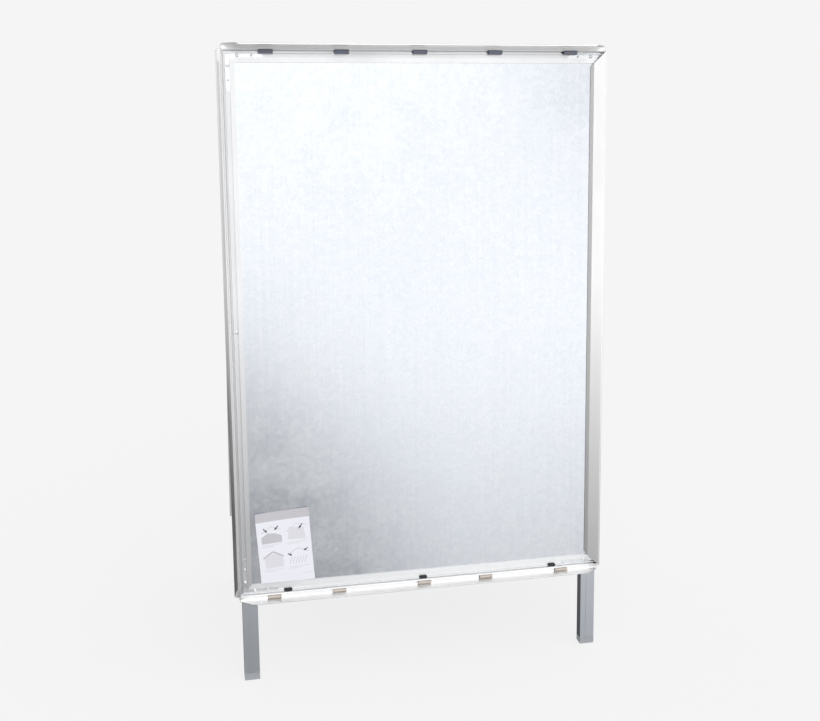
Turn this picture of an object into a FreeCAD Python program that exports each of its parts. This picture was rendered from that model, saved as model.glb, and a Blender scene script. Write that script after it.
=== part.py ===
"""Sandwich board: two hinged snap frames on legs, for posters of 700 x 1000 mm.

Every frame is drawn upright in a board frame of its own: X to the right, Y backwards,
Z up, with the lower outer edge at Z = 0 and the flat back of the profiles at Y = 0.
Its profiles are drawn in a section frame: u inwards from the outer edge, v forwards
from the back, and the third axis along the edge.
"""
import FreeCAD, Part
import math
import os
import Sketcher

Vector = FreeCAD.Vector
Rotation = FreeCAD.Rotation
Placement = FreeCAD.Placement

os.makedirs("parts", exist_ok=True)
doc = FreeCAD.newDocument("SandwichBoard")
sheet = doc.addObject("Spreadsheet::Sheet", "Sizes")

SIZES = {
    # the frame as a whole
    "frame_width": 744,
    "frame_height": 1044,
    "lean_angle": 8,
    # base profile, by distance from the outer edge and height above its back
    "web_thick": 1.2,
    "hinge_u": 1.6,
    "hinge_v": 3.2,
    "socket_radius": 1.65,
    "socket_outer": 2.85,
    "socket_toe": 0.4,
    "seat_u": 7.6,
    "seat_height": 5.0,
    "channel_u": 8.8,
    "post_u": 16.4,
    "post_thick": 1.2,
    "flange_u": 25.3,
    "flange_under": 3.4,
    "flange_top": 4.6,
    "ledge_top": 2.0,
    # snap rail
    "bead_radius": 1.5,
    "rail_wall": 1.2,
    "rail_edge": 0.1,
    "rail_shoulder": 4.5,
    "rail_top": 13.5,
    "rail_width": 31.0,
    "bevel_u": 25.5,
    "bevel_v": 8.6,
    "lip_top": 4.4,
    "lip_foot": 3.6,
    "mitre_gap": 0.3,
    "bead_cut": 3.6,
    "open_angle": 98,
    # back panel and leaflet
    "panel_inset": 18.2,
    "panel_thick": 0.8,
    "panel_gap": 0.2,
    "leaflet_width": 105,
    "leaflet_height": 148,
    "leaflet_thick": 0.25,
    "leaflet_turn": 4,
    "leaflet_left": 44.7,
    "leaflet_bottom": 18.9,
    "leaflet_gap": 0.05,
    # corner bracket and its screws
    "bracket_outer": 9.0,
    "bracket_inner": 16.2,
    "bracket_arm": 79,
    "bracket_slant": 4,
    "bracket_thick": 1.5,
    "screw_line": 12.6,
    "screw_near": 30.5,
    "screw_far": 56.5,
    "screw_shank": 1.5,
    "screw_reach": 2.5,
    "screw_head": 3.1,
    "screw_small_head": 2.1,
    "screw_head_high": 1.7,
    "screw_point": 0.8,
    "screw_taper": 0.5,
    "cross_half": 0.3,
    # slots in the bottom profile, and the rubber buffers in them
    "slot_u": 7.9,
    "slot_length": 17,
    "slot_width": 6.6,
    "slot_pitch": 273,
    "slot_middle": -3,
    "buffer_clear": 0.1,
    "buffer_low": 0.2,
    "buffer_high": 3.6,
    # spring clips
    "clip_width": 27,
    "clip_thick": 0.7,
    # legs and foot plugs
    "leg_width": 30,
    "leg_depth": 17,
    "leg_wall": 1.5,
    "leg_inset": 5.6,
    "leg_drop": 172,
    "leg_top": 6,
    "leg_rib": 7,
    "leg_rib_high": 0.5,
    "leg_hole_spare": 0.4,
    "plug_height": 13,
    "plug_stub": 24,
    "plug_clear": 0.1,
    # hinges
    "axis_back": 18.5,
    "axis_up": 4,
    "knuckle_radius": 4,
    "pin_radius": 2,
    "pin_clear": 0.05,
    "leaf_length": 50,
    "leaf_thick": 1.2,
    "knuckle_width": 10,
    "knuckle_gap": 0.2,
    "pin_head": 1.2,
    "rivet_radius": 2,
    "rivet_upper": 16,
    "rivet_lower": 38,
    # spreader stays
    "stay_front_down": 620,
    "stay_rear_down": 400,
    "stay_off_axis": 4.5,
    "stay_width": 16,
    "stay_thick": 2.5,
    "stay_gap": 1,
    "stay_play": 0.2,
    "stay_slot": 6.4,
    "stay_pivot": 3,
    "stay_pin": 2.5,
    "stay_head": 6,
    "stay_head_thick": 1.5,
}
for row, (alias, given) in enumerate(SIZES.items(), start=1):
    sheet.set(f"A{row}", alias.replace("_", " "))
    sheet.set(f"B{row}", str(given))
    sheet.setAlias(f"B{row}", alias)
doc.recompute()


class Size:
    """A number together with the spreadsheet formula that gives it."""

    def __init__(self, value, text):
        self.value = float(value)
        self.text = text

    @staticmethod
    def of(other):
        return other if isinstance(other, Size) else Size(other, repr(float(other)))

    def join(self, other, sign, value):
        return Size(value, f"({self.text} {sign} {Size.of(other).text})")

    def __add__(self, other):
        return self.join(other, "+", self.value + Size.of(other).value)

    def __sub__(self, other):
        return self.join(other, "-", self.value - Size.of(other).value)

    def __mul__(self, other):
        return self.join(other, "*", self.value * Size.of(other).value)

    def __truediv__(self, other):
        return self.join(other, "/", self.value / Size.of(other).value)

    def __neg__(self):
        return self * -1

    def __radd__(self, other):
        return Size.of(other) + self

    def __rsub__(self, other):
        return Size.of(other) - self

    def __rmul__(self, other):
        return self * other


def size(alias):
    """The named cell as a Size."""
    return Size(sheet.get(alias), f"Sizes.{alias}")


def number(alias):
    """The named cell as a plain number."""
    return float(sheet.get(alias))


# ---------------------------------------------------------------- drawing helpers
def new_body(label, placement=None):
    body = doc.addObject("PartDesign::Body", label)
    body.Label = label
    if placement is not None:
        body.Placement = placement
    return body


def new_sketch(body, plane):
    sketch = body.newObject("Sketcher::SketchObject", "Sketch")
    support = next(f for f in body.Origin.OriginFeatures if f.Role == plane)
    sketch.AttachmentSupport = [(support, "")]
    sketch.MapMode = "FlatFace"
    return sketch


def bind(sketch, constraint, given):
    index = sketch.addConstraint(constraint)
    if "Sizes." in given.text:
        sketch.setExpression(f"Constraints[{index}]", given.text)


def fix_point(sketch, edge, end, x, y):
    bind(sketch, Sketcher.Constraint("DistanceX", -1, 1, edge, end, x.value), x)
    bind(sketch, Sketcher.Constraint("DistanceY", -1, 1, edge, end, y.value), y)


def arc_edge(start, end, centre, turn):
    """An arc from start to end about centre; turn is +1 anticlockwise, -1 clockwise."""
    first, last = (start, end) if turn > 0 else (end, start)
    angles = [math.atan2(p.y - centre.y, p.x - centre.x) for p in (first, last)]
    if angles[1] <= angles[0]:
        angles[1] += 2 * math.pi
    circle = Part.Circle(centre, Vector(0, 0, 1), (first - centre).Length)
    return Part.ArcOfCircle(circle, *angles)


def draw_outline(sketch, corners):
    """A closed outline. A corner is (x, y), or (x, y, centre, turn) where an arc about
    that centre leaves it for the next corner."""
    corners = [[Size.of(c[0]), Size.of(c[1]), *c[2:]] for c in corners]
    spots = [Vector(c[0].value, c[1].value, 0) for c in corners]
    edges = []
    for i, corner in enumerate(corners):
        start, end = spots[i], spots[(i + 1) % len(spots)]
        if len(corner) == 2:
            edge = sketch.addGeometry(Part.LineSegment(start, end))
            edges.append((edge, 1, 2))
            continue
        x, y = Size.of(corner[2][0]), Size.of(corner[2][1])
        turn = corner[3]
        edge = sketch.addGeometry(arc_edge(start, end, Vector(x.value, y.value, 0), turn))
        edges.append((edge, 1, 2) if turn > 0 else (edge, 2, 1))
        upright = abs(end.y - start.y) > abs(end.x - start.x)
        kind, given = ("DistanceX", x) if upright else ("DistanceY", y)
        bind(sketch, Sketcher.Constraint(kind, -1, 1, edge, 3, given.value), given)
    for i, (edge, begin, _) in enumerate(edges):
        before, _, finish = edges[i - 1]
        sketch.addConstraint(Sketcher.Constraint("Coincident", before, finish, edge, begin))
        fix_point(sketch, edge, begin, corners[i][0], corners[i][1])


def draw_circle(sketch, x, y, radius):
    x, y, radius = Size.of(x), Size.of(y), Size.of(radius)
    middle = Vector(x.value, y.value, 0)
    edge = sketch.addGeometry(Part.Circle(middle, Vector(0, 0, 1), radius.value))
    bind(sketch, Sketcher.Constraint("Radius", edge, radius.value), radius)
    fix_point(sketch, edge, 3, x, y)


def draw_box(sketch, x_low, x_high, y_low, y_high):
    draw_outline(sketch, [(x_low, y_low), (x_high, y_low), (x_high, y_high), (x_low, y_high)])


def pad(body, sketch, length, reach="middle"):
    """Adds a pad that is centred on the sketch, or that goes one way only."""
    feature = body.newObject("PartDesign::Pad", "Pad")
    feature.Profile = sketch
    feature.Length = length.value
    if "Sizes." in length.text:
        feature.setExpression("Length", length.text)
    feature.Midplane = reach == "middle"
    feature.Reversed = reach == "back"
    sketch.Visibility = False
    return feature


def pocket(body, sketch, depth=None):
    """Cuts through everything, or to a depth on both sides of the sketch."""
    feature = body.newObject("PartDesign::Pocket", "Pocket")
    feature.Profile = sketch
    if depth is None:
        feature.Type = "ThroughAll"
    else:
        feature.Length = 2 * depth
    feature.Midplane = True
    return feature


def shift_sketch(sketch, distance):
    """Moves a sketch along its plane's normal."""
    sketch.AttachmentOffset = Placement(Vector(0, 0, distance), Rotation())


def revolve(body, sketch):
    """A full turn about the sketch's vertical axis."""
    feature = body.newObject("PartDesign::Revolution", "Revolution")
    feature.Profile = sketch
    feature.ReferenceAxis = (sketch, ["V_Axis"])
    feature.Angle = 360
    return feature


def group(label, master, placements):
    """Copies of one master piece, kept as separate solids under one label."""
    copies = []
    for i, placement in enumerate(placements):
        copy = doc.addObject("App::Link", f"{label}_{i + 1}")
        copy.LinkedObject = master
        copy.Placement = placement
        copies.append(copy)
    compound = doc.addObject("Part::Compound", label)
    compound.Label = label
    compound.Links = copies
    return compound


# ---------------------------------------------------------------- places
LEAN = math.radians(number("lean_angle"))
WIDTH, HEIGHT = number("frame_width"), number("frame_height")
AXIS_Y = number("axis_back")
AXIS_Z = HEIGHT + number("axis_up")
LEG_MIDDLE = WIDTH / 2 - number("leg_inset") - number("leg_width") / 2
# the middle of a leg's foot stands on the floor
FOOT_BACK = AXIS_Y - number("leg_depth") / 2
AXIS_HEIGHT = (AXIS_Z + number("leg_drop")) * math.cos(LEAN) - FOOT_BACK * math.sin(LEAN)


def board_placement(facing):
    """Where a board stands: it leans about the hinge line; facing is front or rear."""
    turn = Rotation(Vector(1, 0, 0), -number("lean_angle"))
    if facing == "rear":
        turn = Rotation(Vector(0, 0, 1), 180) * turn
    origin = Vector(0, 0, AXIS_HEIGHT) - turn.multVec(Vector(0, AXIS_Y, AXIS_Z))
    return Placement(origin, turn)


SIDES = {
    "left": (Vector(-WIDTH / 2, 0, HEIGHT / 2), Vector(1, 0, 0)),
    "right": (Vector(WIDTH / 2, 0, HEIGHT / 2), Vector(-1, 0, 0)),
    "top": (Vector(0, 0, HEIGHT), Vector(0, 0, -1)),
    "bottom": (Vector(0, 0, 0), Vector(0, 0, 1)),
}


def side_placement(side):
    """The section frame of one side: u inwards, v forwards, the third axis along it."""
    middle, inward = SIDES[side]
    forward = Vector(0, -1, 0)
    return Placement(middle, Rotation(inward, forward, inward.cross(forward), "XYZ"))


def side_length(side):
    return size("frame_height") if side in ("left", "right") else size("frame_width")


def corner_placements():
    """The four corners: each turns the lower left one a quarter turn further."""
    places = []
    for turn, x, z in ((0, -1, 0), (90, -1, 1), (180, 1, 1), (270, 1, 0)):
        where = Vector(x * WIDTH / 2, 0, z * HEIGHT)
        places.append(Placement(where, Rotation(Vector(0, 1, 0), turn)))
    return places


# ---------------------------------------------------------------- profiles and rails
MITRE_REACH = 40    # further in than any profile is wide
MITRE_SLACK = 20    # further out than any profile reaches


def cut_mitres(body, side, gap):
    """Cuts both ends at 45 degrees from the corner, a gap short of it."""
    half = side_length(side) / 2
    reach, slack = MITRE_REACH, MITRE_SLACK
    for end in (1, -1):
        sketch = new_sketch(body, "XZ_Plane")
        near = (half - gap + slack) * end
        far = (half - gap - reach) * end
        outer = (half + slack * 2) * end
        draw_outline(sketch, [(-slack, near), (reach, far), (reach, outer), (-slack, outer)])
        pocket(body, sketch)


def shorten_bead(body, side):
    """Ends the bead before the corner, so that it turns clear of its neighbour's."""
    half = side_length(side) / 2
    low = -size("web_thick")
    high = size("hinge_v") + size("bead_radius") + 0.1
    for end in (1, -1):
        sketch = new_sketch(body, "YZ_Plane")
        near, far = (half - size("bead_cut")) * end, (half + 1) * end
        draw_outline(sketch, [(low, near), (high, near), (high, far), (low, far)])
        pocket(body, sketch)


def hole_row(body, side):
    """The screw holes that a profile shares with its corner brackets."""
    half = side_length(side) / 2
    sketch = new_sketch(body, "XZ_Plane")
    for end in (1, -1):
        for along in ("screw_near", "screw_far"):
            draw_circle(sketch, size("screw_line"), (half - size(along)) * end,
                        size("screw_shank"))
    if side in ("left", "right"):
        draw_circle(sketch, size("screw_line"), 0, size("screw_shank"))
    pocket(body, sketch)


def draw_slot(sketch, u, middle, clear):
    """A round-ended slot along the profile, drawn smaller all round by a clearance."""
    half_run = (size("slot_length") - size("slot_width")) / 2
    radius = size("slot_width") / 2 - clear
    low, high = middle - half_run, middle + half_run
    draw_outline(sketch, [
        (u + radius, low),
        (u + radius, high, (u, high), 1),
        (u - radius, high),
        (u - radius, low, (u, low), 1),
    ])


def slot_row(body):
    """Three slots in the bottom profile, which also part its seat."""
    for step in (-1, 0, 1):
        sketch = new_sketch(body, "XZ_Plane")
        middle = size("slot_middle") + size("slot_pitch") * step
        draw_slot(sketch, size("slot_u"), middle, Size.of(0))
        pocket(body, sketch)


def base_profile(label, side, placement):
    body = new_body(label, placement * side_placement(side))
    hinge = (size("hinge_u"), size("hinge_v"))
    inner, outer = size("socket_radius"), size("socket_outer")
    web, flange = size("web_thick"), size("flange_u")
    slant = math.sqrt(0.5)
    post = size("post_u")
    sketch = new_sketch(body, "XY_Plane")
    draw_outline(sketch, [
        (0, 0),
        (flange, 0),
        (flange, size("ledge_top")),
        (post + size("post_thick"), size("ledge_top")),
        (post + size("post_thick"), size("flange_under")),
        (flange, size("flange_under")),
        (flange, size("flange_top")),
        (post, size("flange_top")),
        (post, web),
        (size("channel_u"), web),
        (size("channel_u"), size("seat_height")),
        (size("seat_u"), size("seat_height")),
        (size("seat_u"), web),
        (hinge[0] + outer, web),
        (hinge[0] + outer, hinge[1], hinge, 1),
        (hinge[0] + outer * slant, hinge[1] + outer * slant),
        (hinge[0] + inner * slant, hinge[1] + inner * slant, hinge, -1),
        (hinge[0], hinge[1] - inner),
        (hinge[0] - size("socket_toe"), web),
        (0, web),
    ])
    pad(body, sketch, side_length(side))
    cut_mitres(body, side, Size.of(0))
    hole_row(body, side)
    if side == "bottom":
        slot_row(body)
    return body


def rail_placement(side, placement, opened):
    """The section frame of a rail. Opened, it is turned outwards about its bead."""
    place = placement * side_placement(side)
    if opened:
        pivot = Vector(number("hinge_u"), number("hinge_v"), 0)
        turn = Rotation(Vector(0, 0, 1), number("open_angle"))
        place = place * Placement(pivot - turn.multVec(pivot), turn)
    return place


def snap_rail(label, side, placement):
    """A rail, drawn as it lies when closed."""
    body = new_body(label, placement)
    hinge = (size("hinge_u"), size("hinge_v"))
    bead, wall, edge = size("bead_radius"), size("rail_wall"), size("rail_edge")
    shoulder, top = size("rail_shoulder"), size("rail_top")
    width, foot = size("rail_width"), size("lip_foot")
    bevel = (size("bevel_u"), size("bevel_v"))
    inset = hinge[0].value - edge.value - wall.value
    meet = math.sqrt(bead.value ** 2 - inset ** 2)
    sketch = new_sketch(body, "XY_Plane")
    draw_outline(sketch, [
        (edge, hinge[1], hinge, 1),
        (edge + wall, hinge[1] + meet),
        (edge + wall, top - shoulder, (edge + shoulder, top - shoulder), -1),
        (edge + shoulder, top - wall),
        (bevel[0] - wall / 2, bevel[1] - wall),
        (width - wall, foot),
        (width, foot),
        (width, size("lip_top")),
        bevel,
        (edge + shoulder, top, (edge + shoulder, top - shoulder), 1),
        (edge, top - shoulder),
    ])
    pad(body, sketch, side_length(side))
    cut_mitres(body, side, size("mitre_gap"))
    shorten_bead(body, side)
    return body


# ---------------------------------------------------------------- masters of small parts
def bracket_master():
    """An angle of flat steel, drawn at the lower left corner of a board."""
    body = new_body("master_bracket")
    near, far = size("bracket_outer"), size("bracket_inner")
    tip = size("bracket_arm")
    heel = tip - size("bracket_slant")
    sketch = new_sketch(body, "XZ_Plane")
    draw_outline(sketch, [(near, near), (heel, near), (tip, far), (far, far), (far, tip),
                          (near, heel)])
    line = size("screw_line")
    for along in ("screw_near", "screw_far"):
        draw_circle(sketch, size(along), line, size("screw_shank"))
        draw_circle(sketch, line, size(along), size("screw_shank"))
    shift_sketch(sketch, number("web_thick"))
    pad(body, sketch, size("bracket_thick"), "front")
    return body


SCREW_BRIM = 0.3     # the straight rim's share of a head's height
CROSS_REACH = 0.62   # the cross's share of a head's radius
CROSS_DEPTH = 0.6    # and of its height


def screw_master(label, head, seat):
    """A cross-head screw on the local Z axis, whose head rests at a given height."""
    body = new_body(label)
    shank, rise = size("screw_shank"), size("screw_head_high")
    tip, seat = -size("screw_reach"), Size.of(seat)
    dome = rise.value * (1 - SCREW_BRIM)
    crown = (head.value ** 2 + dome ** 2) / (2 * dome)
    peak = seat + rise
    sketch = new_sketch(body, "XZ_Plane")
    draw_outline(sketch, [
        (0, tip),
        (shank - size("screw_taper"), tip),
        (shank, tip + size("screw_point")),
        (shank, seat),
        (head, seat),
        (head, seat + rise * SCREW_BRIM, (0, peak.value - crown), 1),
        (0, peak),
    ])
    revolve(body, sketch)
    arm, half = head.value * CROSS_REACH, number("cross_half")
    cross = new_sketch(body, "XY_Plane")
    plus = []
    for quarter in range(4):
        turn = Rotation(Vector(0, 0, 1), 90 * quarter)
        for x, y in ((half, -half), (arm, -half), (arm, half)):
            spot = turn.multVec(Vector(x, y, 0))
            plus.append((spot.x, spot.y))
    draw_outline(cross, plus)
    shift_sketch(cross, peak.value)
    pocket(body, cross, rise.value * CROSS_DEPTH)
    return body


# sections of the springs, as places of their outer face in the section frame
SEAT_CLIP = [(9.7, 3.6), (9.6, 6.6), (7.2, 9.0), (4.2, 9.8), (2.2, 8.2)]
RAIL_CLIP = [(2.0, 5.4), (3.8, 6.6), (4.9, 8.4), (4.6, 10.2), (3.6, 11.5)]


def clip_master(label, route):
    """A leaf spring, drawn as a strip of even thickness along its route."""
    body = new_body(label)
    thick = number("clip_thick")
    inner = []
    for i, (u, v) in enumerate(route):
        back, ahead = route[max(i - 1, 0)], route[min(i + 1, len(route) - 1)]
        along = Vector(ahead[0] - back[0], ahead[1] - back[1], 0).normalize()
        inner.append((u - along.y * thick, v + along.x * thick))
    sketch = new_sketch(body, "XY_Plane")
    draw_outline(sketch, route + inner[::-1])
    pad(body, sketch, size("clip_width"))
    return body


def buffer_master():
    """A rubber plug that fills a slot, standing a little above the web."""
    body = new_body("master_buffer")
    sketch = new_sketch(body, "XZ_Plane")
    draw_slot(sketch, size("slot_u"), Size.of(0), size("buffer_clear"))
    shift_sketch(sketch, -number("buffer_low"))
    pad(body, sketch, size("buffer_high") - size("buffer_low"), "back")
    return body


# ---------------------------------------------------------------- legs
def leg(label, x, placement):
    """A flat tube behind the side profile, with a shallow rib down its front face."""
    bottom = number("plug_height") - number("leg_drop")
    body = new_body(label, placement * Placement(Vector(x, 0, bottom), Rotation()))
    half, depth, wall = size("leg_width") / 2, size("leg_depth"), size("leg_wall")
    length = (size("frame_height") - size("leg_top")) + size("leg_drop") - size("plug_height")
    sketch = new_sketch(body, "XY_Plane")
    draw_box(sketch, -half, half, 0, depth)
    draw_box(sketch, -half + wall, half - wall, wall, depth - wall)
    pad(body, sketch, length, "front")
    rib = new_sketch(body, "XY_Plane")
    rib_half = size("leg_rib") / 2
    draw_box(rib, -rib_half, rib_half, -size("leg_rib_high"), wall / 2)
    pad(body, rib, size("leg_drop") - size("plug_height") - size("leg_rib_high"), "front")
    line = number("leg_inset") + number("leg_width") / 2 - number("screw_line")
    edge = number("leg_inset") + number("leg_width") / 2 - number("screw_near")
    away = math.copysign(1, x)
    screw_rows = [(line, number(a)) for a in ("screw_near", "screw_far")]
    screw_rows.append((edge, number("screw_line")))
    heights = screw_rows + [(line, HEIGHT / 2)]
    heights += [(across, HEIGHT - z) for across, z in screw_rows]
    holes = new_sketch(body, "XZ_Plane")
    for across, z in heights:
        draw_circle(holes, away * across, z - bottom, size("screw_shank"))
    through_wall = number("leg_wall") + number("leg_hole_spare")
    pocket(body, holes, through_wall)
    rivets = new_sketch(body, "XZ_Plane")
    for down in ("rivet_upper", "rivet_lower"):
        draw_circle(rivets, 0, AXIS_Z - bottom - number(down), size("rivet_radius"))
    shift_sketch(rivets, -number("leg_depth"))
    pocket(body, rivets, through_wall)
    return body


def foot_plug(label, x, placement):
    """A moulded plug: a foot cut level with the floor, and a stub inside the tube."""
    body = new_body(label, placement * Placement(Vector(x, 0, 0), Rotation()))
    depth, drop = size("leg_depth"), size("leg_drop")
    slope = depth / 2 * math.tan(LEAN)
    top = size("plug_height") - drop
    foot = new_sketch(body, "YZ_Plane")
    draw_outline(foot, [(0, -drop - slope), (depth, -drop + slope), (depth, top), (0, top)])
    pad(body, foot, size("leg_width"))
    inset = size("leg_wall") + size("plug_clear")
    stub = new_sketch(body, "YZ_Plane")
    draw_box(stub, inset, depth - inset, top - 1, top + size("plug_stub"))
    pad(body, stub, size("leg_width") - inset * 2)
    return body


# ---------------------------------------------------------------- hinges
def hinge_leaf_master(label, knuckles):
    """A hinge leaf, drawn with the hinge line along X at the origin."""
    body = new_body(label)
    back = size("leg_depth") - size("axis_back")
    radius, wide = size("knuckle_radius"), size("knuckle_width")
    plate = new_sketch(body, "YZ_Plane")
    draw_box(plate, back, back + size("leaf_thick"), -size("leaf_length"), -1)
    pad(body, plate, wide * 3)
    barrel = new_sketch(body, "YZ_Plane")
    draw_circle(barrel, 0, 0, radius)
    pad(body, barrel, wide * 3)
    gap, reach = number("knuckle_gap"), radius * 2
    rooms = [(0, gap)] if knuckles == "outer" else [(-1, 2 * gap), (1, 2 * gap)]
    for step, clear in rooms:
        room = new_sketch(body, "YZ_Plane")
        draw_box(room, -reach, reach, -radius - gap * 3, radius + gap * 5)
        shift_sketch(room, step * (number("knuckle_width") + gap))
        pocket(body, room, number("knuckle_width") / 2 + clear)
    bore = new_sketch(body, "YZ_Plane")
    draw_circle(bore, 0, 0, size("pin_radius") + size("pin_clear"))
    pocket(body, bore)
    holes = new_sketch(body, "XZ_Plane")
    for down in ("rivet_upper", "rivet_lower"):
        draw_circle(holes, 0, -size(down), size("rivet_radius"))
    pocket(body, holes)
    return body


def turned_master(label, steps):
    """A turned piece on the local Z axis. steps are (radius, z at its end), from z = 0."""
    body = new_body(label)
    outline, height = [(0, 0)], Size.of(0)
    for radius, end in steps:
        outline += [(radius, height), (radius, end)]
        height = Size.of(end)
    outline.append((0, height))
    sketch = new_sketch(body, "XZ_Plane")
    draw_outline(sketch, outline)
    revolve(body, sketch)
    return body


# ---------------------------------------------------------------- stays
class StayPath:
    """Where the rear pin lies as seen from the stay, when the stay turns at a constant
    ratio to the boards. Places are (y, z) in the front board's frame, from the hinge."""

    def __init__(self):
        off = number("stay_off_axis")
        self.pivot = Vector(0, -off, -number("stay_front_down"))
        self.pin_folded = Vector(0, off, -number("stay_rear_down"))
        self.spread = 2 * number("lean_angle")
        self.open_turn = self.direction(self.spread)
        self.ratio = (self.open_turn - self.direction(0)) / self.spread

    def pin(self, spread):
        return Rotation(Vector(1, 0, 0), spread).multVec(self.pin_folded)

    def direction(self, spread):
        """The angle of the line from pivot to pin, in degrees from straight up."""
        line = self.pin(spread) - self.pivot
        return math.degrees(math.atan2(line.y, line.z))

    def in_slot(self, spread):
        """The pin's place in the stay's frame: along it, and across it."""
        line = self.pin(spread) - self.pivot
        length = line.Length
        turned = self.open_turn - self.ratio * (self.spread - spread)
        off = math.radians(self.direction(spread) - turned)
        return Vector(length * math.cos(off), -length * math.sin(off), 0)


STAY = StayPath()


def arc_through(start, middle, end):
    """The centre of the arc through three places, and which way it turns."""
    centre = Part.Arc(start, middle, end).toShape().Curve.Center
    turn = 1 if (middle - start).cross(end - middle).z > 0 else -1
    return (centre.x, centre.y), turn


def band_outline(path, half):
    """A round-ended band along a path of five places, two arcs on each of its sides."""
    rows = []
    for side in (1, -1):
        row = []
        for i, spot in enumerate(path):
            ahead = path[min(i + 1, 4)] - path[max(i - 1, 0)]
            row.append(spot + Vector(ahead.y, -ahead.x, 0).normalize() * half * side)
        rows.append(row)
    corners = []
    for row, end in ((rows[0], path[4]), (rows[1][::-1], path[0])):
        for start in (0, 2):
            corners.append((row[start].x, row[start].y, *arc_through(*row[start:start + 3])))
        corners.append((row[4].x, row[4].y, (end.x, end.y), 1))
    return corners


def stay_master():
    """A flat bar with a curved slot, drawn from its pivot along Y, with Z across."""
    body = new_body("master_stay")
    half = number("stay_width") / 2
    thick = size("stay_thick")
    path = [STAY.in_slot(STAY.spread * quarter / 4) for quarter in range(5)]
    head = new_sketch(body, "YZ_Plane")
    draw_outline(head, band_outline(path, half))
    pad(body, head, thick)
    bar = new_sketch(body, "YZ_Plane")
    reach = path[0].x
    draw_outline(bar, [(0, -half), (reach, -half), (reach, half), (0, half, (0, 0), 1)])
    pad(body, bar, thick)
    slot = new_sketch(body, "YZ_Plane")
    draw_outline(slot, band_outline(path, number("stay_slot") / 2))
    pocket(body, slot)
    eye = new_sketch(body, "YZ_Plane")
    draw_circle(eye, 0, 0, size("stay_pivot") + size("pin_clear"))
    pocket(body, eye)
    return body


# ---------------------------------------------------------------- one board
CLIP_SPOTS = {
    "top": (-290, -149, 0, 147, 298),
    "bottom": (-303, -174, 0, 129, 291),
}
OPEN_SIDES = {"front": ("top", "left", "bottom"), "rear": ()}
FORWARD = Rotation(Vector(1, 0, 0), 90)


PANEL_FRONT = number("ledge_top") + number("panel_gap") + number("panel_thick")


def back_panel(label, placement):
    panel = doc.addObject("Part::Box", label)
    panel.Label = label
    inset = size("panel_inset")
    for name, length in (
        ("Length", size("frame_width") - inset * 2),
        ("Width", size("panel_thick")),
        ("Height", size("frame_height") - inset * 2),
    ):
        panel.setExpression(name, length.text)
    corner = Vector(number("panel_inset") - WIDTH / 2, -PANEL_FRONT, number("panel_inset"))
    panel.Placement = placement * Placement(corner, Rotation())
    return panel


def leaflet(label, placement):
    sheet_of_paper = doc.addObject("Part::Box", label)
    sheet_of_paper.Label = label
    sheet_of_paper.setExpression("Length", "Sizes.leaflet_width")
    sheet_of_paper.setExpression("Width", "Sizes.leaflet_thick")
    sheet_of_paper.setExpression("Height", "Sizes.leaflet_height")
    corner = Vector(
        number("leaflet_left") - WIDTH / 2,
        -PANEL_FRONT - number("leaflet_gap") - number("leaflet_thick"),
        number("leaflet_bottom"),
    )
    turn = Rotation(Vector(0, -1, 0), number("leaflet_turn"))
    sheet_of_paper.Placement = placement * Placement(corner, turn)
    return sheet_of_paper


def bracket_screw_spots(along):
    """Two places at each corner, one on each arm of its bracket."""
    spots = []
    for corner in corner_placements():
        for x, z in ((number(along), number("screw_line")),
                     (number("screw_line"), number(along))):
            spots.append(corner * Placement(Vector(x, 0, z), FORWARD))
    return spots


def make_board(facing, masters):
    place = board_placement(facing)
    made = []
    rails = {}
    for side in SIDES:
        rails[side] = rail_placement(side, place, side in OPEN_SIDES[facing])
        made.append(base_profile(f"{facing}_base_{side}", side, place))
        made.append(snap_rail(f"{facing}_rail_{side}", side, rails[side]))
    top, bottom = place * side_placement("top"), place * side_placement("bottom")
    steps = [number("slot_middle") + step * number("slot_pitch") for step in (-1, 0, 1)]
    # seen from the front of the board, the section frame runs backwards along the top
    for name, master, along, places in (
        ("clips_top", "seat_clip", top, [-spot for spot in CLIP_SPOTS["top"]]),
        ("clips_bottom", "rail_clip", rails["bottom"], CLIP_SPOTS["bottom"]),
        ("buffers", "buffer", bottom, steps),
    ):
        spots = [along * Placement(Vector(0, 0, spot), Rotation()) for spot in places]
        made.append(group(f"{facing}_{name}", masters[master], spots))
    made.append(back_panel(f"{facing}_back_panel", place))
    corners = [place * c for c in corner_placements()]
    made.append(group(f"{facing}_corner_brackets", masters["bracket"], corners))
    for name, along, master in (
        ("corner_screws", "screw_near", "screw"),
        ("corner_pins", "screw_far", "small_screw"),
    ):
        spots = [place * s for s in bracket_screw_spots(along)]
        made.append(group(f"{facing}_{name}", masters[master], spots))
    line = WIDTH / 2 - number("screw_line")
    spots = [place * Placement(Vector(x, 0, HEIGHT / 2), FORWARD) for x in (-line, line)]
    made.append(group(f"{facing}_leg_screws", masters["leg_screw"], spots))
    for side, x in (("left", -LEG_MIDDLE), ("right", LEG_MIDDLE)):
        made.append(leg(f"{facing}_leg_{side}", x, place))
        made.append(foot_plug(f"{facing}_foot_{side}", x, place))
    hinge_spots = [place * Placement(Vector(x, AXIS_Y, AXIS_Z), Rotation())
                   for x in (-LEG_MIDDLE, LEG_MIDDLE)]
    made.append(group(f"{facing}_hinge_leaves", masters[f"{facing}_leaf"], hinge_spots))
    rivet_spots = []
    start = AXIS_Y - number("leg_depth") - number("leaf_thick")
    for spot in hinge_spots:
        for down in ("rivet_upper", "rivet_lower"):
            where = Placement(Vector(0, -start, -number(down)), FORWARD)
            rivet_spots.append(spot * where)
    made.append(group(f"{facing}_hinge_rivets", masters["rivet"], rivet_spots))
    return made


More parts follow.
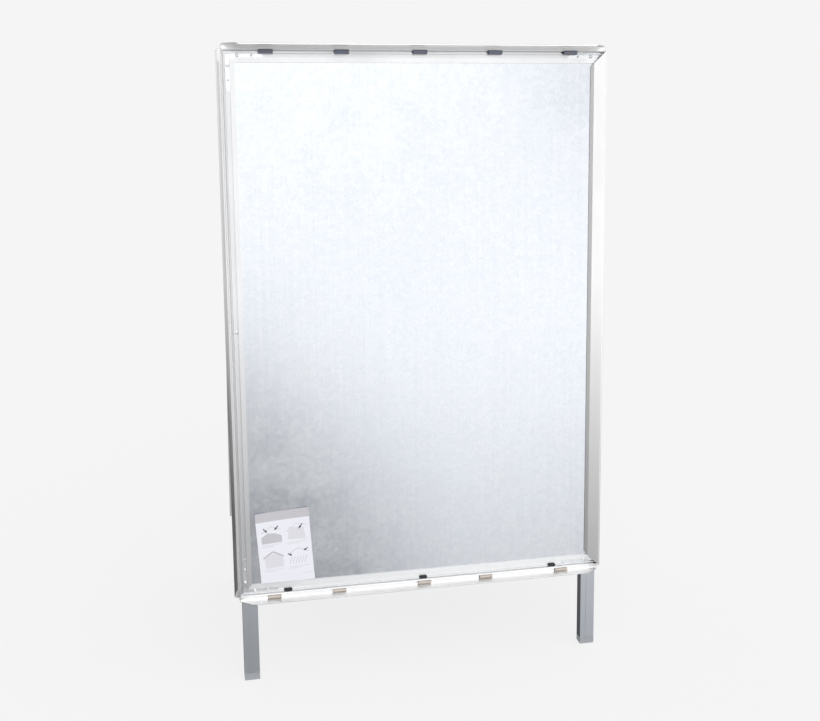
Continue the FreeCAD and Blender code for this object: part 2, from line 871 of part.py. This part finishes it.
# ---------------------------------------------------------------- the whole object
front_head_top = number("web_thick") + number("bracket_thick")
rivet_long = number("leg_wall") + number("leaf_thick")
pin_half = (number("knuckle_width") + number("knuckle_gap")) * 1.5
pin_head = number("pin_head")
stay_start = number("stay_gap") - number("stay_play")
stay_end = number("stay_gap") + number("stay_thick") + number("stay_play")
masters = {
    "bracket": bracket_master(),
    "screw": screw_master("master_screw", size("screw_head"), front_head_top),
    "small_screw": screw_master("master_small_screw", size("screw_small_head"),
                                front_head_top),
    "leg_screw": screw_master("master_leg_screw", size("screw_head"), number("web_thick")),
    "seat_clip": clip_master("master_seat_clip", SEAT_CLIP),
    "rail_clip": clip_master("master_rail_clip", RAIL_CLIP),
    "buffer": buffer_master(),
    "front_leaf": hinge_leaf_master("master_front_leaf", "outer"),
    "rear_leaf": hinge_leaf_master("master_rear_leaf", "middle"),
    "rivet": turned_master("master_rivet", [(size("rivet_radius"), rivet_long)]),
    "hinge_pin": turned_master("master_hinge_pin", [
        (size("pin_radius") + pin_head, pin_head),
        (size("pin_radius"), pin_half * 2 + pin_head),
        (size("pin_radius") + pin_head, (pin_half + pin_head) * 2),
    ]),
    "stay": stay_master(),
    "stay_pivot": turned_master("master_stay_pivot", [
        (size("stay_head"), stay_start),
        (size("stay_pivot"), stay_end),
        (size("stay_head"), stay_end + number("stay_head_thick")),
    ]),
    "stay_pin": turned_master("master_stay_pin", [
        (size("stay_head"), stay_start),
        (size("stay_pin"), stay_end),
        (size("stay_head"), stay_end + number("stay_head_thick")),
    ]),
}
nodes = make_board("front", masters) + make_board("rear", masters)
front_place, rear_place = board_placement("front"), board_placement("rear")
nodes.append(leaflet("instruction_leaflet", front_place))

ALONG_X = Rotation(Vector(0, 1, 0), 90)
pin_spots = []
for x in (-LEG_MIDDLE, LEG_MIDDLE):
    start = Vector(x - pin_half - pin_head, AXIS_Y, AXIS_Z)
    pin_spots.append(front_place * Placement(start, ALONG_X))
nodes.append(group("hinge_pins", masters["hinge_pin"], pin_spots))

LEG_INNER = LEG_MIDDLE - number("leg_width") / 2
STAY_X = LEG_INNER - number("stay_gap") - number("stay_thick") / 2
axis = Vector(0, AXIS_Y, AXIS_Z)
rise = 90 - STAY.open_turn
for name, side in (("stay_left", -1), ("stay_right", 1)):
    where = axis + STAY.pivot + Vector(side * STAY_X, 0, 0)
    turn = Rotation(Vector(1, 0, 0), rise)
    nodes.append(group(name, masters["stay"], [front_place * Placement(where, turn)]))

for label, master, place, spot in (
    ("stay_pivots", "stay_pivot", front_place, STAY.pivot),
    ("stay_pins", "stay_pin", rear_place, Vector(0, -STAY.pin_folded.y, STAY.pin_folded.z)),
):
    spots = []
    for side in (-1, 1):
        inwards = Rotation(Vector(0, 1, 0), -90 * side)
        where = axis + spot + Vector(side * LEG_INNER, 0, 0)
        spots.append(place * Placement(where, inwards))
    nodes.append(group(label, masters[master], spots))

doc.recompute()

for item in doc.Objects:
    if "Invalid" in item.State or "Error" in item.State:
        owners = [parent.Label for parent in item.InList]
        raise RuntimeError(f"{item.Label} of {owners} failed: {item.State}")
for node in nodes:
    if node.Shape.isNull() or not node.Shape.isValid():
        raise RuntimeError(f"{node.Label} has no valid shape")
for node in nodes:
    node.Shape.exportStep(f"parts/{node.Label}.step")

print("nodes", len(nodes))
print("hinge axis height", round(AXIS_HEIGHT, 3))
print("stay ratio", round(STAY.ratio, 5), "pivot", front_place.multVec(axis + STAY.pivot))
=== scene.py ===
"""Looks of the sandwich board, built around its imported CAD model."""

import math

import bmesh
import bpy
import numpy as np
from mathutils import Matrix, Vector


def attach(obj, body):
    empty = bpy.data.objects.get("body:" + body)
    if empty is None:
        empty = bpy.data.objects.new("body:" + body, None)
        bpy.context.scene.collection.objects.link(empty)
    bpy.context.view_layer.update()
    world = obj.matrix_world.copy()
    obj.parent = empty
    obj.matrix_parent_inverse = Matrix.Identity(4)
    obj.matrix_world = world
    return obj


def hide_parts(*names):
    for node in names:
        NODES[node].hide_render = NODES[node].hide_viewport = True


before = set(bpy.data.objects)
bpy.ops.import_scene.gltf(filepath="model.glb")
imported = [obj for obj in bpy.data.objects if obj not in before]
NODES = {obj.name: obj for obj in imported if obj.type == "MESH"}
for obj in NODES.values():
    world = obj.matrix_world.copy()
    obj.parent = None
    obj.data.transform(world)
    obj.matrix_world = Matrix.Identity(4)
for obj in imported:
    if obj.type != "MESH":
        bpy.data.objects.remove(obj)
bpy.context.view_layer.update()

MM = 0.001
BOARDS = {"front": math.radians(8), "rear": math.radians(-8)}   # how far each board leans


# ---------------------------------------------------------------- node helpers
class Tree:
    """A small wrapper that adds shader nodes to one node tree."""

    def __init__(self, tree):
        self.tree = tree
        tree.nodes.clear()

    def node(self, kind, inputs=None, **settings):
        made = self.tree.nodes.new(kind)
        for name, value in settings.items():
            setattr(made, name, value)
        for name, value in (inputs or {}).items():
            self.feed(made.inputs[name], value)
        return made

    def feed(self, socket, value):
        """Links a socket or a node's first output, or sets a plain value."""
        if isinstance(value, bpy.types.NodeSocket):
            self.tree.links.new(value, socket)
        elif isinstance(value, bpy.types.Node):
            self.tree.links.new(value.outputs[0], socket)
        else:
            socket.default_value = value

    def math(self, operation, a, b, c=0.5, clamp=False):
        made = self.node("ShaderNodeMath", {0: a, 1: b, 2: c}, operation=operation)
        made.use_clamp = clamp
        return made.outputs[0]

    def product(self, first, *others):
        for other in others:
            first = self.math("MULTIPLY", first, other)
        return first

    def vector(self, operation, a, b=(0, 0, 0)):
        made = self.node("ShaderNodeVectorMath", {0: a, 1: b}, operation=operation)
        return made.outputs["Value" if operation == "DOT_PRODUCT" else "Vector"]

    def remap(self, value, low, high, to_low=0.0, to_high=1.0, smooth=False):
        made = self.node(
            "ShaderNodeMapRange",
            {"Value": value, "From Min": low, "From Max": high,
             "To Min": to_low, "To Max": to_high},
            interpolation_type="SMOOTHSTEP" if smooth else "LINEAR",
        )
        return made.outputs[0]

    def spread(self, noise, to_low, to_high):
        """The middle of a noise's range, stretched between two values."""
        return self.remap(noise, 0.3, 0.7, to_low, to_high)

    def ramp(self, value, stops):
        made = self.node("ShaderNodeValToRGB", {"Fac": value})
        ramp = made.color_ramp
        while len(ramp.elements) < len(stops):
            ramp.elements.new(0.5)
        for element, (place, colour) in zip(ramp.elements, stops):
            element.position = place
            element.color = (*colour, 1)
        return made.outputs[0]

    def mix(self, factor, a, b):
        made = self.node("ShaderNodeMix", data_type="RGBA", blend_type="MIX")
        for index, value in ((0, factor), (6, a), (7, b)):
            if isinstance(value, tuple):
                value = (*value, 1)
            self.feed(made.inputs[index], value)
        return made.outputs[2]

    def noise(self, place, scale, detail=3.0, roughness=0.5):
        made = self.node(
            "ShaderNodeTexNoise",
            {"Vector": place, "Scale": scale, "Detail": detail, "Roughness": roughness},
        )
        return made.outputs[0]

    def voronoi(self, place, scale):
        return self.node("ShaderNodeTexVoronoi", {"Vector": place, "Scale": scale})

    def bump(self, height, distance, strength):
        made = self.node("ShaderNodeBump",
                         {"Height": height, "Distance": distance, "Strength": strength})
        return made.outputs[0]


def new_material(name):
    material = bpy.data.materials.new(name)
    material.use_nodes = True
    tree = Tree(material.node_tree)
    output = tree.node("ShaderNodeOutputMaterial")
    shader = tree.node("ShaderNodeBsdfPrincipled")
    tree.feed(output.inputs["Surface"], shader)
    place = tree.node("ShaderNodeTexCoord").outputs["Object"]
    return material, tree, shader, place


def wire(tree, shader, colour, roughness, normal, metallic=0.0):
    """Feeds the channels that every finish has."""
    tree.feed(shader.inputs["Base Color"], colour)
    tree.feed(shader.inputs["Roughness"], roughness)
    tree.feed(shader.inputs["Normal"], normal)
    shader.inputs["Metallic"].default_value = metallic


def shade(colour, factor, lift=0.0):
    """A colour made darker or lighter, and kept at 1 or below."""
    return tuple(min(1.0, c * factor + lift) for c in colour)


def board_place(tree, place, facing):
    """Object coordinates turned upright: X along the board, Z up it, Y through it."""
    turn = (BOARDS[facing], 0, 0)
    return tree.node("ShaderNodeMapping", {"Vector": place, "Rotation": turn}).outputs[0]


def along_lines(tree, facing, along):
    """The world direction of a profile's drawing lines."""
    lean = BOARDS[facing]
    local = (1.0, 0.0, 0.0) if along == "x" else (0.0, math.sin(lean), math.cos(lean))
    return tree.node("ShaderNodeVectorTransform", {"Vector": local}, vector_type="VECTOR",
                     convert_from="OBJECT", convert_to="WORLD").outputs[0]


def edge_wear(tree, radius):
    """1 on sharp edges and 0 away from them."""
    rounded = tree.node("ShaderNodeBevel", {"Radius": radius}, samples=4).outputs[0]
    true = tree.node("ShaderNodeNewGeometry").outputs["True Normal"]
    return tree.remap(tree.vector("DOT_PRODUCT", rounded, true), 0.995, 0.9)


# ---------------------------------------------------------------- materials
def extruded(name, facing, along, colour, rough, streak=1.0):
    """Satin anodised aluminium with drawing lines along X ("x") or up the board ("z")."""
    material, tree, shader, place = new_material(name)
    upright = board_place(tree, place, facing)
    across, lengthwise = 1400.0, 2.2        # how often the lines change, per metre
    broad_share = 0.16                      # the broad bands change this much less often
    stretch = (lengthwise, across, across) if along == "x" else (across, across, lengthwise)
    broad = tuple(s * broad_share for s in stretch)
    lines = tree.noise(tree.vector("MULTIPLY", upright, stretch), 1.0, 4.0, 0.65)
    bands = tree.noise(tree.vector("MULTIPLY", upright, broad), 1.0, 2.0)
    cloud = tree.noise(upright, 9.0, 4.0)
    tone = tree.product(
        tree.math("MULTIPLY_ADD", lines, 0.03 * streak, 0.985 - 0.015 * streak),
        tree.spread(bands, 0.985, 1.01),
        tree.spread(cloud, 0.975, 1.015),
    )
    body = tree.mix(tree.remap(tone, 0.8, 1.0), shade(colour, 0.80), colour)
    wear = edge_wear(tree, 0.5 * MM)
    skin = tree.mix(tree.product(wear, 0.6), body, shade(colour, 1.04, 0.02))
    gloss = tree.math("MULTIPLY_ADD", lines, 0.08 * streak, rough - 0.04 * streak)
    gloss = tree.math("ADD", gloss, tree.remap(cloud, 0.35, 0.7, -0.03, 0.05))
    gloss = tree.math("SUBTRACT", gloss, tree.product(wear, 0.08))
    wire(tree, shader, skin, gloss, tree.bump(lines, 0.03 * MM, 0.25 * streak), metallic=1.0)
    # the lines spread a reflection across themselves
    shader.inputs["Anisotropic"].default_value = 0.9
    shader.inputs["Anisotropic Rotation"].default_value = 0.25
    tree.feed(shader.inputs["Tangent"], along_lines(tree, facing, along))
    return material


def galvanised(name, facing):
    """Zinc-coated sheet: faint crystals, rolling streaks and a few dull smudges."""
    material, tree, shader, place = new_material(name)
    upright = board_place(tree, place, facing)
    bend = tree.node("ShaderNodeTexNoise", {"Vector": upright, "Scale": 60.0}).outputs["Color"]
    bent = tree.vector("ADD", upright, tree.vector("MULTIPLY", bend, (6 * MM,) * 3))
    crystals, flecks = (
        tree.node("ShaderNodeSeparateColor",
                  {"Color": tree.voronoi(bent, scale).outputs["Color"]}).outputs[channel]
        for scale, channel in ((110.0, 0), (320.0, 1))
    )
    cloud = tree.noise(upright, 13.0, 5.0, 0.6)
    broad = tree.noise(upright, 3.2, 2.0)
    rolled = tree.noise(tree.vector("MULTIPLY", upright, (240.0, 240.0, 2.5)), 1.0, 3.0)
    tone = tree.product(
        tree.math("MULTIPLY_ADD", crystals, 0.05, 0.95),
        tree.math("MULTIPLY_ADD", flecks, 0.04, 0.97),
        tree.spread(cloud, 0.965, 1.02),
        tree.spread(rolled, 0.985, 1.01),
        tree.spread(broad, 0.98, 1.01),
    )
    dull, bright = (0.58, 0.615, 0.675), (0.80, 0.82, 0.855)
    skin = tree.ramp(tree.remap(tone, 0.82, 1.06), [(0.0, dull), (1.0, bright)])
    gloss = tree.math("MULTIPLY_ADD", crystals, 0.02, 0.22)
    gloss = tree.math("ADD", gloss, tree.spread(cloud, -0.03, 0.05))
    waves = tree.bump(tree.product(cloud, 2.0), 0.1 * MM, 0.14)
    wire(tree, shader, skin, gloss, waves, metallic=1.0)
    return material


def plated(name, colour, rough, tint=(0.80, 0.78, 0.70), tint_share=0.25):
    """Zinc-plated steel with a slightly uneven skin, or the same skin in a dark colour that
    paints shade.
    """
    material, tree, shader, place = new_material(name)
    patches = tree.noise(place, 70.0, 4.0, 0.6)
    grain = tree.noise(place, 1600.0, 3.0)
    skin = tree.mix(tree.remap(patches, 0.45, 0.75, 0.0, tint_share), colour, tint)
    skin = tree.mix(tree.spread(grain, 0.10, 0.0), skin, shade(colour, 0.6))
    wear = tree.product(edge_wear(tree, 0.3 * MM), 0.5)
    skin = tree.mix(wear, skin, shade(colour, 1.12, 0.03))
    gloss = tree.math("ADD", tree.spread(patches, rough - 0.05, rough + 0.08),
                      tree.product(grain, 0.06))
    wire(tree, shader, skin, gloss, tree.bump(grain, 0.04 * MM, 0.5), metallic=1.0)
    return material


def moulded(name, colour, rough):
    """Fine-textured moulded plastic or rubber, scuffed where it meets the ground; in near-black
    it also paints shade.
    """
    material, tree, shader, place = new_material(name)
    grain = tree.voronoi(place, 2600.0).outputs["Distance"]
    cloud = tree.noise(place, 120.0, 4.0)
    height_up = tree.node("ShaderNodeSeparateXYZ", {"Vector": place}).outputs["Z"]
    low = tree.remap(height_up, 12 * MM, 0.0)
    scratches = tree.remap(tree.noise(place, 420.0, 5.0, 0.7), 0.42, 0.62)
    scuff = tree.math("MULTIPLY", low, scratches, clamp=True)
    body = tree.mix(tree.spread(cloud, 0.0, 0.35), colour, shade(colour, 0.75))
    skin = tree.mix(tree.product(scuff, 0.6), body, (0.42, 0.41, 0.39))
    gloss = tree.spread(cloud, rough - 0.05, rough + 0.08)
    wire(tree, shader, skin, gloss, tree.bump(grain, 0.05 * MM, 0.4))
    return material


def paper(name, colour):
    """Uncoated paper, or ink on it."""
    material, tree, shader, place = new_material(name)
    fibre = tree.noise(place, 900.0, 5.0, 0.7)
    cloud = tree.noise(place, 40.0, 3.0)
    body = tree.mix(tree.remap(fibre, 0.35, 0.65, 0.0, 0.5), colour, shade(colour, 0.955))
    skin = tree.mix(tree.spread(cloud, 0.0, 0.5), body, shade(colour, 0.97))
    wire(tree, shader, skin, tree.spread(fibre, 0.67, 0.80), tree.bump(fibre, 0.03 * MM, 0.4))
    shader.inputs["Specular IOR Level"].default_value = 0.35
    return material


PROFILE = (0.82, 0.825, 0.835)
RAIL = (0.88, 0.88, 0.88)
LEG = (0.74, 0.775, 0.835)

zinc = plated("zinc_plate", (0.80, 0.82, 0.84), 0.26)

# finishes by how a node's name starts, once front_ or rear_ is taken off it
SMALL_PARTS = (
    ("leg_screws", zinc),
    # the top clips take a darker, browner copy of the spring plating: painted shade from the open
    # top rail above them
    ("clips_top", plated("spring_plate_painted_shade", (0.17, 0.19, 0.25), 0.30, (0.32, 0.22, 0.16), 0.5)),
    ("clips", plated("spring_plate", (0.46, 0.42, 0.38), 0.34, (0.50, 0.42, 0.34), 0.4)),
    ("hinge", plated("hinge_plate", (0.70, 0.71, 0.72), 0.30)),
    ("stay", plated("stay_plate", (0.74, 0.75, 0.76), 0.30)),
    ("foot", moulded("foot_plastic_skin", (0.30, 0.315, 0.34), 0.5)),
    # the near-black slot fillings are painted shade, standing in for the dark hollow behind the
    # slots
    ("buffers", moulded("slot_filling_painted_shade", (0.018, 0.018, 0.020), 0.6)),
)

# finishes that follow a board's lean, and for the profiles and rails also their length
BOARD_PARTS = {}
for facing in BOARDS:
    for along in ("x", "z"):
        BOARD_PARTS[facing, "base", along] = extruded(
            f"{facing}_profile_{along}", facing, along, PROFILE, 0.36)
        BOARD_PARTS[facing, "rail", along] = extruded(
            f"{facing}_rail_{along}", facing, along, RAIL, 0.34, 0.8)
    BOARD_PARTS[facing, "leg", "z"] = extruded(f"{facing}_leg", facing, "z", LEG, 0.33, 1.2)
    BOARD_PARTS[facing, "back", "z"] = galvanised(f"{facing}_galvanised", facing)


def finish_for(name):
    """The finish of a CAD node, told by its name."""
    facing, _, rest = name.partition("_")
    if facing not in BOARDS:
        rest = name
    for start, finish in SMALL_PARTS:
        if rest.startswith(start):
            return finish
    along = "x" if rest.endswith(("top", "bottom")) else "z"
    return BOARD_PARTS.get((facing, rest.split("_")[0], along), zinc)


for name, node in NODES.items():
    node.data.materials.clear()
    node.data.materials.append(finish_for(name))

# ---------------------------------------------------------------- floor and light
BACKGROUND = (0.913, 0.913, 0.913, 1)   # the pale studio grey, as linear light
FLOOR_RADIUS = 60
FLOOR_DROP = 0.2 * MM                   # keeps the floor clear of the feet
FLOOR_GLOW = 0.86                       # the share of the background that the floor gives off
FLOOR_GREY = (0.105, 0.105, 0.105, 1)   # and the rest, which a shadow can take away
BRIGHTEST = 2.1                         # the top of the scale of the two tone lists below

# brightness by height, as (elevation in degrees, tone)
AHEAD_TONES = ((-90, 0.95), (-45, 0.85), (-30, 0.62), (-24, 0.66), (-16, 1.02), (-11, 1.20),
               (-6, 1.36), (0, 1.40), (14, 1.36), (28, 1.70), (50, 2.1), (90, 1.3))
BEHIND_TONES = ((-90, 0.04), (-20, 0.08), (-13, 0.70), (0, 0.95), (20, 0.95), (45, 1.00),
                (90, 0.85))
# dim parts of the room ahead: azimuth, elevation, inner and outer angle, and how dim
DIM_AREAS = ((-8, -20, 17, 21.5, 0.66), (36, -22, 5, 18, 0.35), (38, 18, 6, 16, 0.5))
DIM_LEFT = 0.72


def make_floor():
    mesh = bpy.data.meshes.new("floor")
    plan = bmesh.new()
    bmesh.ops.create_circle(plan, cap_ends=True, radius=FLOOR_RADIUS, segments=96)
    plan.to_mesh(mesh)
    plan.free()
    floor = bpy.data.objects.new("floor", mesh)
    bpy.context.scene.collection.objects.link(floor)
    floor.location.z = -FLOOR_DROP
    floor.visible_glossy = False
    material = bpy.data.materials.new("floor_pale")
    material.use_nodes = True
    tree = Tree(material.node_tree)
    glow = tree.node("ShaderNodeEmission", {"Color": BACKGROUND, "Strength": FLOOR_GLOW})
    matt = tree.node("ShaderNodeBsdfDiffuse", {"Color": FLOOR_GREY})
    both = tree.node("ShaderNodeAddShader", {0: glow, 1: matt})
    tree.node("ShaderNodeOutputMaterial", {"Surface": both})
    mesh.materials.append(material)


def direction(azimuth, elevation):
    """A unit vector: azimuth 0 is -Y, turning towards +X, in degrees."""
    a, e = math.radians(azimuth), math.radians(elevation)
    return (math.sin(a) * math.cos(e), -math.cos(a) * math.cos(e), math.sin(e))


def make_world():
    """Light from a room that the metal reflects, and a plain background for the camera."""
    world = bpy.data.worlds.new("studio")
    bpy.context.scene.world = world
    world.use_nodes = True
    tree = Tree(world.node_tree)
    toward = tree.vector("NORMALIZE", tree.node("ShaderNodeTexCoord").outputs["Generated"])
    axes = tree.node("ShaderNodeSeparateXYZ", {"Vector": toward}).outputs
    height = tree.remap(axes["Z"], -1.0, 1.0)

    def dome(tones):
        stops = [((math.sin(math.radians(elevation)) + 1) / 2, (tone / BRIGHTEST,) * 3)
                 for elevation, tone in tones]
        return tree.product(tree.ramp(height, stops), BRIGHTEST)

    def area(azimuth, elevation, inner, outer):
        """1 inside the inner angle around a direction, falling to 0 at the outer angle."""
        dot = tree.vector("DOT_PRODUCT", toward, direction(azimuth, elevation))
        return tree.remap(dot, math.cos(math.radians(outer)), math.cos(math.radians(inner)),
                          smooth=True)

    def dimmed(light, where, depth):
        return tree.product(light, tree.math("MULTIPLY_ADD", where, -depth, 1.0))

    # in front: bright from the horizon up, with the dim room low on the left
    ahead = dome(AHEAD_TONES)
    for *place, depth in DIM_AREAS:
        ahead = dimmed(ahead, area(*place), depth)
    ahead = dimmed(ahead, tree.remap(axes["X"], -0.38, -0.64, smooth=True), DIM_LEFT)
    # behind: a dark floor and a plain grey wall
    behind = dome(BEHIND_TONES)
    back = tree.remap(axes["Y"], -0.05, 0.25, smooth=True)
    ahead = tree.product(ahead, tree.math("SUBTRACT", 1.0, back))
    room = tree.math("MULTIPLY_ADD", behind, back, ahead)
    lit = tree.node("ShaderNodeBackground", {"Color": (1, 1, 1, 1), "Strength": room})
    plain = tree.node("ShaderNodeBackground", {"Color": BACKGROUND, "Strength": 1.0})
    seen = tree.node("ShaderNodeLightPath").outputs["Is Camera Ray"]
    pick = tree.node("ShaderNodeMixShader", {0: seen, 1: lit, 2: plain})
    tree.node("ShaderNodeOutputWorld", {"Surface": pick})


make_floor()
make_world()

# ---------------------------------------------------------------- the leaflet
LEAFLET_TURN = math.radians(4)
TUCKED = 0.16                   # the share of the sheet's height that the flange holds flat
CURL = 2.4 * MM                 # how far the free upper corners lift
MIDDLE_CURL = 0.30              # and the middle of the upper edge, as a share of that
WAVE = 0.25 * MM
INK = 0.03 * MM                 # print stands this far off the paper, so that it shows
INK_STEP = 0.04                 # print follows the paper in steps of this share of the sheet
PAPER = (0.74, 0.745, 0.80)
GREY_INK, DARK_INK, PALE_INK = (0.50, 0.49, 0.52), (0.045, 0.045, 0.055), (0.64, 0.635, 0.68)


def leaflet_axes():
    """The CAD sheet's lower left corner, its edges to the right, up and forwards, and size."""
    ends = np.array([vertex.co for vertex in NODES["instruction_leaflet"].data.vertices])
    turn = Matrix.Rotation(-BOARDS["front"], 3, "X") @ Matrix.Rotation(-LEAFLET_TURN, 3, "Y")
    axes = [turn @ Vector(axis) for axis in ((1, 0, 0), (0, 0, 1), (0, -1, 0))]
    along = [ends @ np.array(axis) for axis in axes]
    low = Vector([0.0, 0.0, 0.0])
    for axis, places in zip(axes, along):
        low += axis * float(places.min())
    return low, *axes, *(float(np.ptp(places)) for places in along)


LOW, RIGHT, UP, FORWARD, SHEET_WIDE, SHEET_HIGH, SHEET_THICK = leaflet_axes()
ASPECT = SHEET_WIDE / SHEET_HIGH


def on_sheet(s, t, off=0.0):
    """A place on the paper: s across and t up it, both 0 to 1, and off its back."""
    free = min(1.0, max(0.0, (t - TUCKED) / (1 - TUCKED)))
    lift = CURL * free ** 2 * (MIDDLE_CURL + (1 - MIDDLE_CURL) * (2 * s - 1) ** 2)
    lift += WAVE * free * math.sin(5.2 * s + 3.1 * t)
    forward = max(lift, 0.0) + off
    return LOW + RIGHT * (s * SHEET_WIDE) + UP * (t * SHEET_HIGH) + FORWARD * forward


def grown(name, faces, material):
    """A piece from quads given by their corners."""
    mesh = bpy.data.meshes.new(name)
    made = bmesh.new()
    for corners in faces:
        made.faces.new([made.verts.new(corner) for corner in corners])
    bmesh.ops.remove_doubles(made, verts=made.verts, dist=1e-6)
    made.to_mesh(mesh)
    made.free()
    piece = bpy.data.objects.new(name, mesh)
    bpy.context.scene.collection.objects.link(piece)
    mesh.materials.append(material)
    return piece


def ink_quads(points, off):
    """A four-sided patch of print, split so that it follows the paper."""
    a, b, c, d = (Vector((s, t, 0.0)) for s, t in points)
    longest = max((b - a).length, (c - b).length, (d - c).length, (a - d).length)
    steps = max(1, math.ceil(longest / INK_STEP))
    grid = []
    for i in range(steps + 1):
        row = []
        for j in range(steps + 1):
            place = a.lerp(b, j / steps).lerp(d.lerp(c, j / steps), i / steps)
            row.append(on_sheet(place.x, place.y, SHEET_THICK + off))
        grid.append(row)
    return [
        (grid[i][j], grid[i][j + 1], grid[i + 1][j + 1], grid[i + 1][j])
        for i in range(steps) for j in range(steps)
    ]


def bar(s0, t0, s1, t1):
    return [(s0, t0), (s1, t0), (s1, t1), (s0, t1)]


def stroke(s0, t0, s1, t1, width):
    """A line of print, as wide as given in shares of the sheet's width."""
    along = Vector((s1 - s0, (t1 - t0) / ASPECT))
    side = Vector((-along.y, along.x)).normalized() * width / 2
    ds, dt = side.x, side.y * ASPECT
    return [(s0 + ds, t0 + dt), (s0 - ds, t0 - dt), (s1 - ds, t1 - dt), (s1 + ds, t1 + dt)]


def arrow(s0, t0, s1, t1, width=0.018):
    """A shaft and a head from the first place to the second."""
    blunt = 1e-4                            # a head has four corners, and two are at its tip
    ds, dt = s1 - s0, t1 - t0
    s, t = s0 + ds * 0.5, t0 + dt * 0.5
    side = Vector((-dt / ASPECT, ds)).normalized() * width * 1.3
    head = [(s + side.x, t + side.y * ASPECT), (s - side.x, t - side.y * ASPECT),
            (s1, t1), (s1, t1 + blunt)]
    return [stroke(s0, t0, s, t, width), head]


def print_shapes():
    """Grey, pale and dark print: a blank heading, four simple drawings and blank captions."""
    grey, pale, dark = [bar(0.0, 0.875, 1.0, 1.0)], [bar(0.78, 0.10, 0.95, 0.112)], []
    for column in (0.08, 0.55):
        for row in (0.545, 0.205):
            pale += [bar(column, row, column + 0.37, row + 0.009),
                     bar(column, row - 0.02, column + 0.22, row - 0.011)]
    # a corner of the frame, with the rails opened outwards
    grey += [bar(0.08, 0.575, 0.46, 0.665),
             [(0.08, 0.665), (0.46, 0.665), (0.36, 0.70), (0.20, 0.715)]]
    pale += [stroke(0.08, 0.72, 0.27, 0.80, 0.020), stroke(0.27, 0.80, 0.46, 0.745, 0.020)]
    dark += arrow(0.13, 0.785, 0.20, 0.725) + arrow(0.41, 0.80, 0.33, 0.745)
    # a poster laid in
    pale += [[(0.57, 0.60), (0.90, 0.585), (0.88, 0.735), (0.60, 0.76)]]
    grey += [stroke(0.55, 0.70, 0.74, 0.80, 0.008), stroke(0.74, 0.80, 0.93, 0.77, 0.008),
             stroke(0.57, 0.60, 0.90, 0.585, 0.008)]
    dark += arrow(0.86, 0.785, 0.78, 0.72)
    # the rails closed again
    pale += [bar(0.11, 0.235, 0.45, 0.37),
             [(0.11, 0.37), (0.45, 0.37), (0.31, 0.42), (0.25, 0.42)]]
    grey += [stroke(0.08, 0.375, 0.27, 0.455, 0.034), stroke(0.27, 0.455, 0.46, 0.375, 0.034)]
    # and the sheet beneath them
    grey += [stroke(0.54, 0.38, 0.73, 0.46, 0.010), stroke(0.73, 0.46, 0.93, 0.40, 0.010)]
    grey += [stroke(0.56 + 0.055 * k, 0.25, 0.62 + 0.055 * k, 0.345, 0.010) for k in range(6)]
    dark += arrow(0.54, 0.40, 0.62, 0.365) + arrow(0.92, 0.445, 0.84, 0.41)
    return (("grey", grey, GREY_INK), ("pale", pale, PALE_INK), ("dark", dark, DARK_INK))


def make_leaflet():
    across, upwards = 26, 36
    front_faces, back_faces, rim = [], [], []
    for i in range(across):
        for j in range(upwards):
            corners = bar(i / across, j / upwards, (i + 1) / across, (j + 1) / upwards)
            front_faces.append([on_sheet(s, t, SHEET_THICK) for s, t in corners])
            back_faces.append([on_sheet(s, t) for s, t in reversed(corners)])
    edge = [(i / across, 0.0) for i in range(across)]
    edge += [(1.0, j / upwards) for j in range(upwards)]
    edge += [(1.0 - i / across, 1.0) for i in range(across)]
    edge += [(0.0, 1.0 - j / upwards) for j in range(upwards)]
    for here, there in zip(edge, edge[1:] + edge[:1]):
        rim.append([on_sheet(*here), on_sheet(*there),
                    on_sheet(*there, SHEET_THICK), on_sheet(*here, SHEET_THICK)])
    sheet = grown("leaflet_sheet", front_faces + back_faces + rim, paper("leaflet_stock", PAPER))
    pieces = [sheet]
    for layer, (name, shapes, ink) in enumerate(print_shapes(), start=1):
        faces = [face for shape in shapes for face in ink_quads(shape, INK * layer)]
        pieces.append(grown(f"leaflet_print_{name}", faces, paper(f"leaflet_ink_{name}", ink)))
    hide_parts("instruction_leaflet")
    for piece in pieces:
        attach(piece, "front_frame")


make_leaflet()

# ---------------------------------------------------------------- camera
LENS = 39.653
SHIFT = (0.0854, -0.0738)
CAMERA_PLACE = Vector((-0.4469, -1.7276, 1.1873))
AIM = Vector((-0.1461, 0.0, 0.7194))
ROLL = math.radians(0.207)

scene = bpy.context.scene
scene.view_settings.view_transform = "Standard"
scene.view_settings.look = "None"

camera_data = bpy.data.cameras.new("camera")
camera_data.lens = LENS
camera_data.sensor_width = 36
camera_data.shift_x, camera_data.shift_y = SHIFT
camera = bpy.data.objects.new("camera", camera_data)
scene.collection.objects.link(camera)
camera.location = CAMERA_PLACE
look = (AIM - CAMERA_PLACE).to_track_quat("-Z", "Y").to_matrix()
camera.rotation_euler = (look @ Matrix.Rotation(ROLL, 3, "Z")).to_euler()
scene.camera = camera
